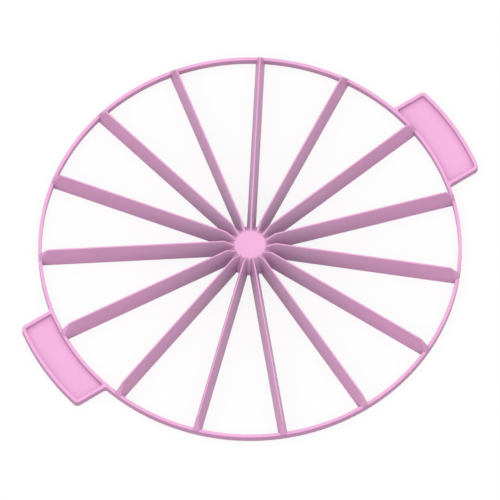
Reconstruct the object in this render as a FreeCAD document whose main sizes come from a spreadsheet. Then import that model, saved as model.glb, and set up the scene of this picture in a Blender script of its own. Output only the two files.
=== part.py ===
import FreeCAD, Part
import Sketcher
import math
import os

# A cake portion marker, moulded in one piece: a thin ring, blades that run from a hub to the ring,
# and two pan-shaped grips outside the ring. It lies on its flat underside, centred on the origin,
# with the cutting edges up. +X points through the middle of one grip. Lengths are in millimetres.

SIZES = (
    ("ring_radius", 125),        # outside of the ring
    ("ring_wall", 2),
    ("ring_height", 5),          # also the height of the grips' rims
    ("blade_count", 15),         # portions that the cake is marked into
    ("blade_height", 15),
    ("blade_root", 5.3),         # width of a blade at its foot
    ("blade_edge", 0.9),         # diameter of the rounded cutting edge
    ("hub_foot_radius", 16),
    ("hub_top_radius", 9.5),
    ("hub_height", 9),
    ("lead_radius", 15.1),       # where the slope that climbs from the hub meets the cutting edge
    ("tip_run", 5.6),            # length of the slope that ends at the ring's outer top edge
    ("grip_length", 60),         # along the ring
    ("grip_reach", 20),          # outwards from the ring
    ("grip_rim", 2),
    ("grip_floor", 2),
    ("grip_corner", 3),          # radius of a grip's outer corners
    ("recess_corner", 1),        # radius in the corners of the recess
    ("grip_blend", 2),           # radius where a grip's side meets the ring
    ("cut_margin", 1),           # how far a cutter reaches past the material
)

X_AXIS, Y_AXIS = -1, -2
CLOSE = 1e-3                     # millimetres within which two points count as one

doc = FreeCAD.newDocument("portion_marker")
sheet = doc.addObject("Spreadsheet::Sheet", "sizes")
for row, (alias, value) in enumerate(SIZES, start=1):
    sheet.set(f"A{row}", alias)
    sheet.set(f"B{row}", str(value))
    sheet.setAlias(f"B{row}", alias)
doc.recompute()


def size(alias):
    """Value of one driving dimension."""
    return float(sheet.get(alias))


def start(curve):
    """First point of a line or an arc, as a sketch names it."""
    return curve, 1


def end(curve):
    """Last point of a line or an arc."""
    return curve, 2


def centre(curve):
    """Centre of an arc."""
    return curve, 3


ORIGIN = start(X_AXIS)


def sketch_on(body, role, name):
    """An empty sketch on one of the body's own origin planes."""
    plane = next(f for f in body.Origin.OriginFeatures if f.Role == role)
    sketch = body.newObject("Sketcher::SketchObject", name)
    sketch.AttachmentSupport = [(plane, "")]
    sketch.MapMode = "FlatFace"
    return sketch


def tie(sketch, kind, *items):
    """A constraint with no measure, such as two points that coincide."""
    sketch.addConstraint(Sketcher.Constraint(kind, *items))


def bind(sketch, kind, items, value, expression):
    """A driving constraint that follows the sheet."""
    index = sketch.addConstraint(Sketcher.Constraint(kind, *items, value))
    sketch.setExpression(f"Constraints[{index}]", expression)


def line(sketch, x1, y1, x2, y2):
    """A straight line between two points."""
    return sketch.addGeometry(Part.LineSegment(FreeCAD.Vector(x1, y1, 0), FreeCAD.Vector(x2, y2, 0)))


def arc(sketch, x, y, radius, first, last):
    """An arc, counterclockwise between two angles in radians."""
    circle = Part.Circle(FreeCAD.Vector(x, y, 0), FreeCAD.Vector(0, 0, 1), radius)
    return sketch.addGeometry(Part.ArcOfCircle(circle, first, last))


def polygon(sketch, corners):
    """A closed outline. Each corner is x, y and the expressions that x and y follow, or None at zero."""
    count = len(corners)
    for i, (x, y, _, _) in enumerate(corners):
        next_x, next_y, _, _ = corners[(i + 1) % count]
        line(sketch, x, y, next_x, next_y)
    for i in range(count):
        tie(sketch, "Coincident", *end(i), *start((i + 1) % count))
    for i, (x, y, follow_x, follow_y) in enumerate(corners):
        if follow_x is None:
            tie(sketch, "PointOnObject", *start(i), Y_AXIS)
        else:
            bind(sketch, "DistanceX", (*ORIGIN, *start(i)), x, follow_x)
        if follow_y is None:
            tie(sketch, "PointOnObject", *start(i), X_AXIS)
        else:
            bind(sketch, "DistanceY", (*ORIGIN, *start(i)), y, follow_y)


def turn_once(body, kind, sketch, name):
    """Turns a section once about the marker's axis, to add or to cut."""
    turned = body.newObject(kind, name)
    turned.Profile = sketch
    turned.ReferenceAxis = (sketch, ["V_Axis"])
    turned.Angle = 360


def add_hub(body):
    """The hub is a low cone with a flat top."""
    sketch = sketch_on(body, "XZ_Plane", "hub_section")
    foot, top, height = size("hub_foot_radius"), size("hub_top_radius"), size("hub_height")
    polygon(sketch, (
        (0, 0, None, None),
        (foot, 0, "sizes.hub_foot_radius", None),
        (top, height, "sizes.hub_top_radius", "sizes.hub_height"),
        (0, height, None, "sizes.hub_height"),
    ))
    turn_once(body, "PartDesign::Revolution", sketch, "hub")


def blade_outline(sketch):
    """A wedge whose two flanks run tangent into the rounded cutting edge."""
    root, edge, height = size("blade_root") / 2, size("blade_edge") / 2, size("blade_height")
    middle = height - edge
    touch = math.acos(edge / math.hypot(root, middle)) - math.atan2(middle, root)
    touch_x, touch_y = edge * math.cos(touch), middle + edge * math.sin(touch)
    foot = line(sketch, -root, 0, root, 0)
    right = line(sketch, root, 0, touch_x, touch_y)
    crest = arc(sketch, 0, middle, edge, touch, math.pi - touch)
    left = line(sketch, -touch_x, touch_y, -root, 0)
    tie(sketch, "Coincident", *end(foot), *start(right))
    tie(sketch, "Tangent", *end(right), *start(crest))
    tie(sketch, "Tangent", *end(crest), *start(left))
    tie(sketch, "Coincident", *end(left), *start(foot))
    tie(sketch, "PointOnObject", *start(foot), X_AXIS)
    tie(sketch, "PointOnObject", *end(foot), X_AXIS)
    tie(sketch, "PointOnObject", *centre(crest), Y_AXIS)
    bind(sketch, "DistanceX", (*ORIGIN, *end(foot)), root, "sizes.blade_root / 2")
    bind(sketch, "DistanceX", (*start(foot), *ORIGIN), root, "sizes.blade_root / 2")
    bind(sketch, "DistanceY", (*ORIGIN, *centre(crest)), middle, "sizes.blade_height - sizes.blade_edge / 2")
    bind(sketch, "Radius", (crest,), edge, "sizes.blade_edge / 2")


def add_blades(body):
    """One blade from the middle towards -Y, repeated round the hub."""
    sketch = sketch_on(body, "XZ_Plane", "blade_section")
    blade_outline(sketch)
    blade = body.newObject("PartDesign::Pad", "blade")
    blade.Profile = sketch
    blade.setExpression("Length", "sizes.ring_radius + sizes.cut_margin")
    blades = body.newObject("PartDesign::PolarPattern", "blades")
    blades.Originals = [blade]
    blades.Axis = (sketch, ["V_Axis"])
    blades.Angle = 360
    blades.setExpression("Occurrences", "sizes.blade_count")
    body.Tip = blades


def open_middle(body):
    """Clears the hub's top and slopes the inner ends of the blades, up to their cutting edges."""
    sketch = sketch_on(body, "XZ_Plane", "lead_section")
    floor, foot, lead = size("hub_height"), size("hub_top_radius"), size("lead_radius")
    edge, margin = size("blade_height"), size("cut_margin")
    slope = (lead - foot) / (edge - floor)
    slope_is = "(sizes.lead_radius - sizes.hub_top_radius) / (sizes.blade_height - sizes.hub_height)"
    polygon(sketch, (
        (0, floor, None, "sizes.hub_height"),
        (foot, floor, "sizes.hub_top_radius", "sizes.hub_height"),
        (lead + margin * slope, edge + margin,
         f"sizes.lead_radius + sizes.cut_margin * {slope_is}", "sizes.blade_height + sizes.cut_margin"),
        (0, edge + margin, None, "sizes.blade_height + sizes.cut_margin"),
    ))
    turn_once(body, "PartDesign::Groove", sketch, "lead_in")


def trim_tips(body):
    """Slopes the outer ends of the blades down to the ring's edge and trims them flush with it."""
    sketch = sketch_on(body, "XZ_Plane", "tip_section")
    outside, edge, margin = size("ring_radius"), size("blade_height"), size("cut_margin")
    run, low = size("tip_run"), size("ring_height")
    slope = "sizes.tip_run / (sizes.blade_height - sizes.ring_height)"
    beyond = "sizes.ring_radius + 2 * sizes.cut_margin"
    polygon(sketch, (
        (outside, -margin, "sizes.ring_radius", "-sizes.cut_margin"),
        (outside + 2 * margin, -margin, beyond, "-sizes.cut_margin"),
        (outside + 2 * margin, edge + margin, beyond, "sizes.blade_height + sizes.cut_margin"),
        (outside - run - margin * run / (edge - low), edge + margin,
         f"sizes.ring_radius - sizes.tip_run - sizes.cut_margin * {slope}",
         "sizes.blade_height + sizes.cut_margin"),
        (outside, low, "sizes.ring_radius", "sizes.ring_height"),
    ))
    turn_once(body, "PartDesign::Groove", sketch, "tips")


def add_ring(body):
    """The ring has a plain upright rectangular section."""
    sketch = sketch_on(body, "XZ_Plane", "ring_section")
    outside, height = size("ring_radius"), size("ring_height")
    inside = outside - size("ring_wall")
    polygon(sketch, (
        (inside, 0, "sizes.ring_radius - sizes.ring_wall", None),
        (outside, 0, "sizes.ring_radius", None),
        (outside, height, "sizes.ring_radius", "sizes.ring_height"),
        (inside, height, "sizes.ring_radius - sizes.ring_wall", "sizes.ring_height"),
    ))
    turn_once(body, "PartDesign::Revolution", sketch, "ring")


def pan_outline(sketch, half, half_is, inner, inner_is, outer, outer_is, corner, corner_is, inner_corners):
    """A band of the ring's own curve, cut off square, with rounded corners.

    Each measure comes with the expression that it follows.
    """
    rise = half - corner
    reach = math.sqrt((outer - corner) ** 2 - rise ** 2)
    turn = math.atan2(rise, reach)
    if inner_corners:
        foot = math.sqrt((inner + corner) ** 2 - rise ** 2)
        inner_turn = math.atan2(rise, foot)
    else:
        foot = math.sqrt(inner ** 2 - half ** 2)
        inner_turn = math.atan2(half, foot)
    right = math.pi / 2
    low = line(sketch, foot, -half, reach, -half)
    low_corner = arc(sketch, reach, -rise, corner, -right, -turn)
    far = arc(sketch, 0, 0, outer, -turn, turn)
    high_corner = arc(sketch, reach, rise, corner, turn, right)
    high = line(sketch, reach, half, foot, half)
    near = arc(sketch, 0, 0, inner, -inner_turn, inner_turn)
    tie(sketch, "Tangent", *end(low), *start(low_corner))
    tie(sketch, "Tangent", *end(low_corner), *start(far))
    tie(sketch, "Tangent", *end(far), *start(high_corner))
    tie(sketch, "Tangent", *end(high_corner), *start(high))
    if inner_corners:
        top = arc(sketch, foot, rise, corner, right, math.pi + inner_turn)
        bottom = arc(sketch, foot, -rise, corner, math.pi - inner_turn, math.pi + right)
        tie(sketch, "Tangent", *end(high), *start(top))
        tie(sketch, "Tangent", *end(top), *end(near))
        tie(sketch, "Tangent", *start(near), *start(bottom))
        tie(sketch, "Tangent", *end(bottom), *start(low))
        tie(sketch, "Equal", low_corner, top)
        tie(sketch, "Equal", low_corner, bottom)
    else:
        tie(sketch, "Coincident", *end(high), *end(near))
        tie(sketch, "Coincident", *start(near), *start(low))
    tie(sketch, "Coincident", *centre(far), *ORIGIN)
    tie(sketch, "Coincident", *centre(near), *ORIGIN)
    tie(sketch, "Horizontal", low)
    tie(sketch, "Horizontal", high)
    tie(sketch, "Equal", low_corner, high_corner)
    bind(sketch, "DistanceY", (*ORIGIN, *start(high)), half, half_is)
    bind(sketch, "DistanceY", (*start(low), *ORIGIN), half, half_is)
    bind(sketch, "Radius", (near,), inner, inner_is)
    bind(sketch, "Radius", (far,), outer, outer_is)
    bind(sketch, "Radius", (low_corner,), corner, corner_is)


def add_grips(body):
    """Two shallow pans on opposite sides, whose fourth wall is the ring itself."""
    half, rim, wall = size("grip_length") / 2, size("grip_rim"), size("ring_wall")
    ring, reach = size("ring_radius"), size("grip_reach")
    outline = sketch_on(body, "XY_Plane", "grip_outline")
    pan_outline(
        outline,
        half, "sizes.grip_length / 2",
        ring - wall / 2, "sizes.ring_radius - sizes.ring_wall / 2",
        ring + reach, "sizes.ring_radius + sizes.grip_reach",
        size("grip_corner"), "sizes.grip_corner",
        False,
    )
    grip = body.newObject("PartDesign::Pad", "grip")
    grip.Profile = outline
    grip.setExpression("Length", "sizes.ring_height")

    inside = sketch_on(body, "XY_Plane", "recess_outline")
    inside.setExpression("AttachmentOffset.Base.z", "sizes.grip_floor")
    pan_outline(
        inside,
        half - rim, "sizes.grip_length / 2 - sizes.grip_rim",
        ring, "sizes.ring_radius",
        ring + reach - rim, "sizes.ring_radius + sizes.grip_reach - sizes.grip_rim",
        size("recess_corner"), "sizes.recess_corner",
        True,
    )
    recess = body.newObject("PartDesign::Pocket", "recess")
    recess.Profile = inside
    recess.Reversed = True
    recess.setExpression("Length", "sizes.ring_height - sizes.grip_floor + sizes.cut_margin")

    grips = body.newObject("PartDesign::PolarPattern", "grips")
    grips.Originals = [grip, recess]
    grips.Axis = (outline, ["N_Axis"])
    grips.Angle = 360
    grips.Occurrences = 2
    body.Tip = grips
    doc.recompute()
    return grips


def blend_grips(body, grips):
    """Rounds the upright inside corners between the grips' sides and the ring."""
    ring, half = size("ring_radius"), size("grip_length") / 2
    corners = []
    for number, edge in enumerate(grips.Shape.Edges, start=1):
        foot, top = edge.firstVertex().Point, edge.lastVertex().Point
        off_upright = math.hypot(foot.x - top.x, foot.y - top.y)
        off_ring = abs(math.hypot(foot.x, foot.y) - ring)
        off_side = abs(abs(foot.y) - half)
        if max(off_upright, off_ring, off_side) < CLOSE:
            corners.append(f"Edge{number}")
    blend = body.newObject("PartDesign::Fillet", "grip_blends")
    blend.Base = (grips, corners)
    blend.setExpression("Radius", "sizes.grip_blend")
    body.Tip = blend


star = doc.addObject("PartDesign::Body", "star")
add_hub(star)
add_blades(star)
open_middle(star)
trim_tips(star)

marker = doc.addObject("PartDesign::Body", "marker")
marker.Label = "portion_marker"
add_ring(marker)
blend_grips(marker, add_grips(marker))
whole = marker.newObject("PartDesign::Boolean", "ring_and_star")
whole.Type = "Fuse"
whole.setObjects([star])
marker.Tip = whole
doc.recompute()

failed = [o.Label for o in doc.Objects if "Invalid" in o.State or "Error" in o.State]
if failed:
    raise RuntimeError("failed to build: " + ", ".join(failed))
if marker.Shape.isNull() or not marker.Shape.isValid():
    raise RuntimeError("not a valid solid: " + marker.Label)

os.makedirs("parts", exist_ok=True)
marker.Shape.exportStep(f"parts/{marker.Label}.step")
print(marker.Label, "solids", len(marker.Shape.Solids), "volume", round(marker.Shape.Volume, 1))
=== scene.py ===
"""Cake portion marker: pale pink moulded plastic, seen as in the photo."""

import math

import bmesh
import bpy
from mathutils import Euler, Matrix, Vector


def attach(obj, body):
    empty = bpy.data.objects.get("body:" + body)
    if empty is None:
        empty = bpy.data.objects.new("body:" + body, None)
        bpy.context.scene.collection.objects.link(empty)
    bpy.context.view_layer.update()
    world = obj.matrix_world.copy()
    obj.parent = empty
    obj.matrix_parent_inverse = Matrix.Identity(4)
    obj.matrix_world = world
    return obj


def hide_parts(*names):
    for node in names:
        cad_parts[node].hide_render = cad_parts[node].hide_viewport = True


MM = 0.001
QUARTER = math.pi / 2

# Camera, fitted to the ring, the blades and the grips in the photo. Lengths in metres.
VIEW_WIDTH = 0.29516
VIEW_ELEVATION = math.radians(63.857)
VIEW_AZIMUTH = math.radians(-33.18)
VIEW_DISTANCE = 1.5
VIEW_CENTRE_RIGHT = -0.0000177
VIEW_CENTRE_UP = 0.000614

# Light: an even sky, and a part that grows in a direction.
WHITE = (1.0, 1.0, 1.0, 1.0)
SKY_EVEN = 0.313
SKY_TOWARDS = (-0.187, -0.078, 1.094)

# The floor that the marker lies on. Lengths in metres.
STAGE_SPAN = 12.0
STAGE_GAP = 0.0001
STAGE_GLOW = 0.8
STAGE_BOUNCE = 0.05

# Forms, in millimetres, on the same sizes as the solid.
RING_RADIUS = 125.0
RING_WALL = 2.0
RING_HEIGHT = 5.0
HUB_FOOT = 16.0
HUB_TOP = 9.5
HUB_HEIGHT = 9.0
BLADE_COUNT = 15
BLADE_HEIGHT = 15.0
BLADE_ROOT = 5.3
EDGE_ROUND = 0.45
FIRST_BLADE = math.radians(6)
LEAD_RADIUS = 15.1
GRIP_LENGTH = 60.0
GRIP_REACH = 20.0
GRIP_CORNER = 3.0
GRIP_BLEND = 2.0
RECESS_CORNER = 1.0
RIM = 2.0
PAN_FLOOR = 2.0

# Roundings that the solid leaves out, in millimetres.
TOP_ROUND = 0.35
FOOT_ROUND = 0.2
RECESS_ROUND = 0.2
HUB_ROUND = 2.0
HUB_BULGE = 0.9

# The blades' ends, in millimetres: the lead-in up from the hub, and the tip down to the ring.
# LEAD_ROUND and TIP_EDGE are what the edge's rounding grows to at the low end of each.
LEAD_FOOT = 8.8
LEAD_HOLLOW = 3.0
LEAD_ROUND = 0.95
SHOULDER_ROUND = 3.0
TIP_START = 119.5
TIP_END = 5.6
TIP_EDGE = 1.1
TIP_ROUND = 2.0
NOSE_ROUND = 2.0

# Ends that lie hidden inside another form, in millimetres.
HIDDEN = 0.15
SUNK = 0.02
BURIED_RUN = 1.0
BURIED_DEPTH = 0.5
WALL_MIDDLE = RING_RADIUS - RING_WALL / 2
RECESS_NEAR = RING_RADIUS - RING_WALL / 4

# How finely the forms are divided. Places and runs are in millimetres along a blade.
RING_STEPS = 360
HUB_STEPS = 8
FOOT_POINTS = 3
RECESS_POINTS = 4
TOP_POINTS = 5
EDGE_POINTS = 6
CORNER_POINTS = 8
SIDE_POINTS = 12
LEAD_PLACES = (11.0, 12.5)
EDGE_PLACES = range(30, 111, 20)
TIP_RUNS = (3.0, 1.5)
WELD = 0.001
CREASE = math.radians(32)

# Plastic. Colours are linear, and reaches and the grain's depth are in metres. OPEN_RANGE is in
# shares of open surroundings, and NOOK_UP and LINE_UP are upward parts of a face's normal.
PINK = (0.893, 0.441, 0.735)
CLOUD_SCALE = 30.0
CLOUD_DETAIL = 3.0
CLOUD_RANGE = (0.3, 0.7)
CLOUD_CHANGE = 0.03
OPEN_SAMPLES = 12
OPEN_RANGE = (0.5, 0.95)
# The nook tint below is painted shade: it darkens and takes red out of steep faces in the
# crowded nooks near the hub.
NOOK_REACH = 0.04
NOOK_SHADE_TINT = (0.74, 0.95, 0.82, 1.0)
NOOK_UP = (0.7, 0.95)
# The line tint below is painted shade: a dark line low on the pans' upright walls, where the
# hollow is shaded.
LINE_REACH = 0.003
WALL_SHADE_TINT = (0.55, 0.45, 0.45, 1.0)
LINE_UP = (0.05, 0.13)
LINE_FADE = (2.5, 0.625)  # millimetres short of the pan's corner
GRAIN_SCALE = 1800.0
GRAIN_DETAIL = 2.0
GRAIN_ROUGHNESS = (0.42, 0.56)
GRAIN_STRENGTH = 0.15
GRAIN_DEPTH = 0.00005

# Sockets of Blender's Mix node for colours.
MIX_FACTOR, MIX_FIRST, MIX_SECOND, MIX_RESULT = 0, 6, 7, 2


def link(tree, source, target):
    """Joins an output to an input."""
    tree.links.new(source, target)


def add_node(tree, kind, inputs=None, **properties):
    """Adds a node, sets its properties, and feeds its inputs with values or other outputs."""
    node = tree.nodes.new(kind)
    for name, value in properties.items():
        setattr(node, name, value)
    for name, value in (inputs or {}).items():
        if isinstance(value, bpy.types.NodeSocket):
            link(tree, value, node.inputs[name])
        else:
            node.inputs[name].default_value = value
    return node


def compute(tree, operation, *values):
    """The result of a Math node."""
    inputs = dict(enumerate(values))
    return add_node(tree, "ShaderNodeMath", inputs, operation=operation).outputs[0]


def compute_vector(tree, operation, *values):
    """The outputs of a Vector Math node."""
    inputs = dict(enumerate(values))
    return add_node(tree, "ShaderNodeVectorMath", inputs, operation=operation).outputs


def ramp(tree, value, span, first, last):
    """Goes from first to last while a value crosses a span, and stays there beyond it."""
    names = ("Value", "From Min", "From Max", "To Min", "To Max")
    inputs = dict(zip(names, (value, *span, first, last)))
    return add_node(tree, "ShaderNodeMapRange", inputs).outputs["Result"]


def mix_colours(tree, blend, factor, first, second):
    """The result of a Mix node for colours."""
    inputs = {MIX_FACTOR: factor, MIX_FIRST: first, MIX_SECOND: second}
    node = add_node(tree, "ShaderNodeMix", inputs, data_type="RGBA", blend_type=blend)
    return node.outputs[MIX_RESULT]


def show(tree, output, lit, seen):
    """Lights the object with one shader, and shows another to the camera, gloss and glass."""
    rays = add_node(tree, "ShaderNodeLightPath").outputs
    direct = compute(tree, "MAXIMUM", rays["Is Camera Ray"], rays["Is Glossy Ray"])
    direct = compute(tree, "MAXIMUM", direct, rays["Is Transmission Ray"])
    shaders = {0: direct, 1: lit.outputs[0], 2: seen.outputs[0]}
    mix = add_node(tree, "ShaderNodeMixShader", shaders)
    link(tree, mix.outputs[0], tree.nodes[output].inputs["Surface"])


def make_world():
    """A plain soft sky above the floor, white where it is seen."""
    world = bpy.data.worlds.new("studio")
    world.use_nodes = True
    tree = world.node_tree
    direction = add_node(tree, "ShaderNodeTexCoord").outputs["Generated"]
    growth = compute_vector(tree, "DOT_PRODUCT", direction, SKY_TOWARDS)["Value"]
    sky = tree.nodes["Background"]
    sky.inputs["Color"].default_value = WHITE
    link(tree, compute(tree, "ADD", growth, SKY_EVEN), sky.inputs["Strength"])
    white = add_node(tree, "ShaderNodeBackground", {"Color": WHITE})
    show(tree, "World Output", sky, white)
    bpy.context.scene.world = world


def make_floor():
    """A plain white floor that keeps a soft shadow and throws little light back up."""
    half = STAGE_SPAN / 2
    corners = [(-half, -half), (half, -half), (half, half), (-half, half)]
    mesh = bpy.data.meshes.new("floor")
    mesh.from_pydata([(x, y, -STAGE_GAP) for x, y in corners], [], [(0, 1, 2, 3)])
    floor = bpy.data.objects.new("floor", mesh)
    bpy.context.scene.collection.objects.link(floor)
    material = bpy.data.materials.new("floor")
    material.use_nodes = True
    tree = material.node_tree
    tree.nodes.remove(tree.nodes["Principled BSDF"])
    matt = add_node(tree, "ShaderNodeBsdfDiffuse", {"Color": WHITE})
    glow = add_node(tree, "ShaderNodeEmission")
    shaders = {0: STAGE_GLOW, 1: matt.outputs[0], 2: glow.outputs[0]}
    seen = add_node(tree, "ShaderNodeMixShader", shaders)
    dark = (STAGE_BOUNCE, STAGE_BOUNCE, STAGE_BOUNCE, 1.0)
    unseen = add_node(tree, "ShaderNodeBsdfDiffuse", {"Color": dark})
    show(tree, "Material Output", unseen, seen)
    mesh.materials.append(material)


def make_camera():
    """An orthographic camera at the photo's angle."""
    data = bpy.data.cameras.new("camera")
    data.type = "ORTHO"
    data.ortho_scale = VIEW_WIDTH
    camera = bpy.data.objects.new("camera", data)
    bpy.context.scene.collection.objects.link(camera)
    turn = Euler((QUARTER - VIEW_ELEVATION, 0.0, VIEW_AZIMUTH))
    place = Vector((VIEW_CENTRE_RIGHT, VIEW_CENTRE_UP, VIEW_DISTANCE))
    camera.rotation_euler = turn
    camera.location = turn.to_matrix() @ place
    bpy.context.scene.camera = camera


def arc(centre, radius, first, last, count):
    """Points of an arc from one angle to another."""
    turns = [first + (last - first) * step / (count - 1) for step in range(count)]
    right, up = centre
    return [(right + radius * math.cos(turn), up + radius * math.sin(turn)) for turn in turns]


def loft(name, loops, closed=False):
    """A closed mesh through loops that have the same number of points, in millimetres."""
    shape = bmesh.new()
    rows = [[shape.verts.new([MM * size for size in point]) for point in loop] for loop in loops]
    pairs = list(zip(rows, rows[1:]))
    if closed:
        pairs.append((rows[-1], rows[0]))
    for low, high in pairs:
        for here in range(len(low)):
            shape.faces.new((low[here - 1], low[here], high[here], high[here - 1]))
    if not closed:
        shape.faces.new(rows[0])
        shape.faces.new(rows[-1])
    bmesh.ops.remove_doubles(shape, verts=shape.verts, dist=MM * WELD)
    bmesh.ops.recalc_face_normals(shape, faces=shape.faces)
    for face in shape.faces:
        face.smooth = True
    mesh = bpy.data.meshes.new(name)
    shape.to_mesh(mesh)
    shape.free()
    form = bpy.data.objects.new(name, mesh)
    bpy.context.scene.collection.objects.link(form)
    return form


def round_turns():
    """The angles of all steps round the ring."""
    return [math.tau * step / RING_STEPS for step in range(RING_STEPS)]


def turned(point, angle):
    """A point of the upright plane through the middle, turned round to an angle."""
    out, up = point
    return (out * math.cos(angle), out * math.sin(angle), up)


def make_ring():
    """The upright band, with rounded rims."""
    inner, outer = RING_RADIUS - RING_WALL, RING_RADIUS
    low, high = FOOT_ROUND, RING_HEIGHT - TOP_ROUND
    section = arc((outer - FOOT_ROUND, low), FOOT_ROUND, -QUARTER, 0, FOOT_POINTS)
    section += arc((outer - TOP_ROUND, high), TOP_ROUND, 0, QUARTER, TOP_POINTS)
    section += arc((inner + TOP_ROUND, high), TOP_ROUND, QUARTER, math.pi, TOP_POINTS)
    section += arc((inner + FOOT_ROUND, low), FOOT_ROUND, math.pi, 3 * QUARTER, FOOT_POINTS)
    loops = [[turned(point, turn) for point in section] for turn in round_turns()]
    return loft("ring", loops, closed=True)


def make_hub():
    """The low cone in the middle, with a slight bulge and a rounded top edge."""
    slope = math.atan2(HUB_HEIGHT, HUB_FOOT - HUB_TOP)
    half = (math.pi - slope) / 2
    centre = (HUB_TOP - HUB_ROUND / math.tan(half), HUB_HEIGHT - HUB_ROUND)
    rim = arc(centre, HUB_ROUND, QUARTER - slope, QUARTER, TOP_POINTS)
    rim_out, rim_up = rim[0]
    side = []
    for step in range(HUB_STEPS):
        share = step / HUB_STEPS
        bulge = HUB_BULGE * 4 * share * (1 - share)
        out = HUB_FOOT + (rim_out - HUB_FOOT) * share + bulge * math.sin(slope)
        side.append((out, rim_up * share + bulge * math.cos(slope)))
    return loft("hub", [[turned(point, turn) for turn in round_turns()] for point in side + rim])


def blade_profile():
    """Places along a blade with their heights: up the lead-in, along the edge, down the tip."""
    end = RING_RADIUS - HIDDEN
    lead = math.atan2(BLADE_HEIGHT - HUB_HEIGHT, LEAD_RADIUS - LEAD_FOOT)
    tip = math.atan2(BLADE_HEIGHT - TIP_END, end - TIP_START)
    hollow_place = LEAD_FOOT - LEAD_HOLLOW * math.tan(lead / 2)
    hollow = (hollow_place, HUB_HEIGHT + LEAD_HOLLOW - SUNK)
    shoulder_place = LEAD_RADIUS + SHOULDER_ROUND * math.tan(lead / 2)
    shoulder = (shoulder_place, BLADE_HEIGHT - SHOULDER_ROUND)
    brow = (TIP_START - TIP_ROUND * math.tan(tip / 2), BLADE_HEIGHT - TIP_ROUND)
    nose = (end - NOSE_ROUND, TIP_END - NOSE_ROUND * math.tan((QUARTER - tip) / 2))

    profile = [(hollow_place - BURIED_RUN, HUB_HEIGHT - BURIED_DEPTH)]
    profile += arc(hollow, LEAD_HOLLOW, -QUARTER, lead - QUARTER, CORNER_POINTS)
    for place in LEAD_PLACES:
        profile.append((place, HUB_HEIGHT + (place - LEAD_FOOT) * math.tan(lead)))
    profile += arc(shoulder, SHOULDER_ROUND, QUARTER + lead, QUARTER, CORNER_POINTS)
    profile += [(place, BLADE_HEIGHT) for place in EDGE_PLACES]
    profile += arc(brow, TIP_ROUND, QUARTER, QUARTER - tip, CORNER_POINTS)
    profile += [(end - run, TIP_END + run * math.tan(tip)) for run in TIP_RUNS]
    profile += arc(nose, NOSE_ROUND, QUARTER - tip, 0.0, EDGE_POINTS)
    return profile


def side_lean(high, edge):
    """The angle by which a blade's side leans inwards, below a ridge rounded by the edge."""
    half = BLADE_ROOT / 2
    return math.acos(edge / math.hypot(half, high)) - math.atan2(high, half)


def make_blade(angle):
    """One wedge, turned to its angle. Its rounding grows from the edge to the low ends.

    At the lead-in the sides lean further in and meet in one ridge, and at the tip they keep
    their lean and leave a flat between two rounded sides.
    """
    half = BLADE_ROOT / 2
    lean = side_lean(BLADE_HEIGHT - EDGE_ROUND, EDGE_ROUND)
    turn = Matrix.Rotation(angle, 3, "Z")
    loops = []
    for place, height in blade_profile():
        leading = place < WALL_MIDDLE / 2
        lowest, softest = (HUB_HEIGHT, LEAD_ROUND) if leading else (TIP_END, TIP_EDGE)
        low = min(1.0, (BLADE_HEIGHT - height) / (BLADE_HEIGHT - lowest))
        edge = EDGE_ROUND + low * (softest - EDGE_ROUND)
        high = height - edge
        if leading:
            across, slant = 0.0, side_lean(high, edge)
        else:
            across, slant = half - (edge + high * math.sin(lean)) / math.cos(lean), lean
        right = [(half, 0.0)]
        right += arc((max(across, 0.0), high), edge, slant, QUARTER, EDGE_POINTS)
        left = [(-side, up) for side, up in reversed(right)]
        loops.append([turn @ Vector((place, side, up)) for side, up in right + left])
    return loft("blade", loops)


def mirrored(half):
    """A closed outline from its half on one side of the grip's middle line."""
    return half + [(place, -side) for place, side in reversed(half)]


def round_side(radius, angle):
    """Points on a curve round the ring's middle, from the grip's middle line to an angle."""
    turns = [angle * (2 * step + 1) / (2 * SIDE_POINTS - 1) for step in range(SIDE_POINTS)]
    return [(radius * math.cos(turn), radius * math.sin(turn)) for turn in turns]


def far_half(half, radius, corner, change):
    """The rounded far corner and half of the far side, which follows the ring's curve."""
    rise = half - corner
    centre = (math.sqrt((radius - corner) ** 2 - rise**2), rise)
    angle = math.atan2(rise, centre[0])
    points = arc(centre, corner + change, QUARTER, angle, CORNER_POINTS)
    return points + round_side(radius + change, angle)[-2::-1]


def grip_outline(inset):
    """The grip's outside from above, moved inwards by the inset."""
    half = GRIP_LENGTH / 2
    side = half + GRIP_BLEND
    centre = (math.sqrt((RING_RADIUS + GRIP_BLEND) ** 2 - side**2), side)
    angle = math.atan2(side, centre[0])
    outline = round_side(WALL_MIDDLE, angle)
    outline += arc(centre, GRIP_BLEND + inset, angle - math.pi, -QUARTER, CORNER_POINTS)
    outline += far_half(half, RING_RADIUS + GRIP_REACH, GRIP_CORNER, -inset)
    return mirrored(outline)


def recess_outline(outset):
    """The recess from above, made larger by the outset."""
    half = GRIP_LENGTH / 2 - RIM
    side = half - RECESS_CORNER
    centre = (math.sqrt((RING_RADIUS + RECESS_CORNER) ** 2 - side**2), side)
    angle = math.atan2(side, centre[0])
    outline = round_side(RECESS_NEAR - outset, angle)
    outline += arc(centre, RECESS_CORNER + outset, angle + math.pi, QUARTER, CORNER_POINTS)
    outline += far_half(half, RING_RADIUS + GRIP_REACH - RIM, RECESS_CORNER, outset)
    return mirrored(outline)


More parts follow.
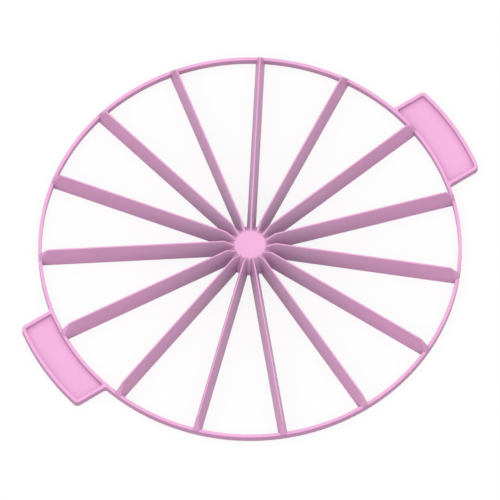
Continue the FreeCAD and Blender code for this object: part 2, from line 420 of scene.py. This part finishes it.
def make_grip(side):
    """A shallow pan on one side of the ring, with rounded rims and a rounded floor edge."""
    foot, top = (FOOT_ROUND, FOOT_ROUND), (TOP_ROUND, RING_HEIGHT - TOP_ROUND)
    outside = arc(foot, FOOT_ROUND, 3 * QUARTER, math.pi, FOOT_POINTS)
    outside += arc(top, TOP_ROUND, math.pi, QUARTER, TOP_POINTS)
    rim = (RECESS_ROUND, RING_HEIGHT - RECESS_ROUND)
    floor_edge = (-RECESS_ROUND, PAN_FLOOR + RECESS_ROUND)
    recess = arc(rim, RECESS_ROUND, QUARTER, math.pi, RECESS_POINTS)
    recess += arc(floor_edge, RECESS_ROUND, 0, -QUARTER, RECESS_POINTS)
    levels = [(grip_outline(inset), up) for inset, up in outside]
    levels += [(recess_outline(outset), up) for outset, up in recess]
    loops = [[(side * x, side * y, up) for x, y in outline] for outline, up in levels]
    return loft("grip", loops)


def make_marker():
    """The whole marker as one closed mesh."""
    whole = make_ring()
    parts = [make_hub(), make_grip(1), make_grip(-1)]
    for count in range(BLADE_COUNT):
        parts.append(make_blade(FIRST_BLADE + count * math.tau / BLADE_COUNT))
    for part in parts:
        union = whole.modifiers.new("union", "BOOLEAN")
        union.operation = "UNION"
        union.solver = "MANIFOLD"
        union.object = part
    graph = bpy.context.evaluated_depsgraph_get()
    mesh = bpy.data.meshes.new_from_object(whole.evaluated_get(graph))
    mesh.name = "marker"
    mesh.materials.clear()  # the unions leave an empty slot
    mesh.set_sharp_from_angle(angle=CREASE)
    for form in parts + [whole]:
        bpy.data.objects.remove(form)
    marker = bpy.data.objects.new("marker", mesh)
    bpy.context.scene.collection.objects.link(marker)
    normals = marker.modifiers.new("normals", "WEIGHTED_NORMAL")
    normals.keep_sharp = True
    return marker


def openness(tree, reach):
    """How open a place of the surface is within a reach, from 0 to 1."""
    node = add_node(
        tree,
        "ShaderNodeAmbientOcclusion",
        {"Distance": reach},
        samples=OPEN_SAMPLES,
        only_local=True,
    )
    return node.outputs["AO"]


def clouded_pink(tree, place):
    """The plastic's own colour, with faint clouding."""
    inputs = {"Vector": place, "Scale": CLOUD_SCALE, "Detail": CLOUD_DETAIL}
    cloud = add_node(tree, "ShaderNodeTexNoise", inputs).outputs["Fac"]
    tint = add_node(tree, "ShaderNodeValToRGB", {"Fac": cloud})
    changes = (1 - CLOUD_CHANGE, 1 + CLOUD_CHANGE)
    for end, position, change in zip(tint.color_ramp.elements, CLOUD_RANGE, changes):
        end.position = position
        end.color = [change * part for part in PINK] + [1.0]
    return tint.outputs["Color"]


def shade_nooks(tree, colour, up):
    """Painted shade: a darker, less red tint on steep faces that others crowd in on, as near the
    hub.
    """
    open_part = ramp(tree, openness(tree, NOOK_REACH), OPEN_RANGE, 0.0, 1.0)
    flat_part = ramp(tree, up, NOOK_UP, 0.0, 1.0)
    unshaded_part = compute(tree, "MAXIMUM", open_part, flat_part)
    shaded = mix_colours(tree, "MULTIPLY", 1.0, colour, NOOK_SHADE_TINT)
    return mix_colours(tree, "MIX", unshaded_part, shaded, colour)


def pan_wall_shade(tree, place, up):
    """How much painted shade a place gets: a dark line low on the pans' walls, less towards
    their corners.
    """
    closeness = ramp(tree, openness(tree, LINE_REACH), OPEN_RANGE, 1.0, 0.0)
    wall = ramp(tree, up, LINE_UP, 1.0, 0.0)
    amount = compute(tree, "MULTIPLY", closeness, wall)

    sideways = add_node(tree, "ShaderNodeSeparateXYZ", {0: place}).outputs["Y"]
    aside = compute(tree, "ABSOLUTE", sideways)
    within = compute(tree, "LESS_THAN", aside, MM * (GRIP_LENGTH / 2 - RIM / 2))
    level = compute_vector(tree, "MULTIPLY", place, (1.0, 1.0, 0.0))["Vector"]
    out = compute_vector(tree, "LENGTH", level)["Value"]
    beyond = compute(tree, "GREATER_THAN", out, MM * WALL_MIDDLE)

    half_length, half_width = GRIP_LENGTH / 2 - RIM, (GRIP_REACH - RIM) / 2
    off_middle = compute(tree, "SUBTRACT", out, MM * (RING_RADIUS + half_width))
    off_middle = compute(tree, "ABSOLUTE", off_middle)
    along = ramp(tree, aside, [MM * (half_length - fade) for fade in LINE_FADE], 1.0, 0.0)
    across = ramp(tree, off_middle, [MM * (half_width - fade) for fade in LINE_FADE], 1.0, 0.0)
    clear_of_corners = compute(tree, "MAXIMUM", along, across)
    for mask in (within, beyond, clear_of_corners):
        amount = compute(tree, "MULTIPLY", amount, mask)
    return amount


def make_plastic():
    """Satin moulded plastic: clouded colour, painted shade in the nooks and low on the pans'
    walls, grain in the gloss.
    """
    material = bpy.data.materials.new("pink_plastic")
    material.use_nodes = True
    tree = material.node_tree
    shader = tree.nodes["Principled BSDF"]
    coordinates = add_node(tree, "ShaderNodeTexCoord").outputs
    place = coordinates["Object"]
    up = add_node(tree, "ShaderNodeSeparateXYZ", {0: coordinates["Normal"]}).outputs["Z"]

    # Painted shade in the colour itself: the crowded nooks near the hub are darkened.
    colour = shade_nooks(tree, clouded_pink(tree, place), up)
    # Painted shade in the colour itself: a dark line low on the pans' walls.
    colour = mix_colours(tree, "MULTIPLY", pan_wall_shade(tree, place, up), colour, WALL_SHADE_TINT)
    link(tree, colour, shader.inputs["Base Color"])

    inputs = {"Vector": place, "Scale": GRAIN_SCALE, "Detail": GRAIN_DETAIL}
    grain = add_node(tree, "ShaderNodeTexNoise", inputs).outputs["Fac"]
    roughness = ramp(tree, grain, (0.0, 1.0), *GRAIN_ROUGHNESS)
    link(tree, roughness, shader.inputs["Roughness"])
    inputs = {"Strength": GRAIN_STRENGTH, "Distance": GRAIN_DEPTH, "Height": grain}
    bump = add_node(tree, "ShaderNodeBump", inputs)
    link(tree, bump.outputs["Normal"], shader.inputs["Normal"])
    return material


bpy.context.scene.view_settings.view_transform = "Standard"
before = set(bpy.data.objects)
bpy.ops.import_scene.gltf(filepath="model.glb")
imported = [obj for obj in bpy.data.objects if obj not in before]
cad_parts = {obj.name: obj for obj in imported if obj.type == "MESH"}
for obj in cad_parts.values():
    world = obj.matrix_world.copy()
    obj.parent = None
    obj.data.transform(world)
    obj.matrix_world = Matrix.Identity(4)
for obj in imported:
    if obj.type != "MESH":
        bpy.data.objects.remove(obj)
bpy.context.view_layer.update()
make_world()
make_floor()
make_camera()
marker = make_marker()
marker.data.materials.append(make_plastic())
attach(marker, "root")
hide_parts("portion_marker")
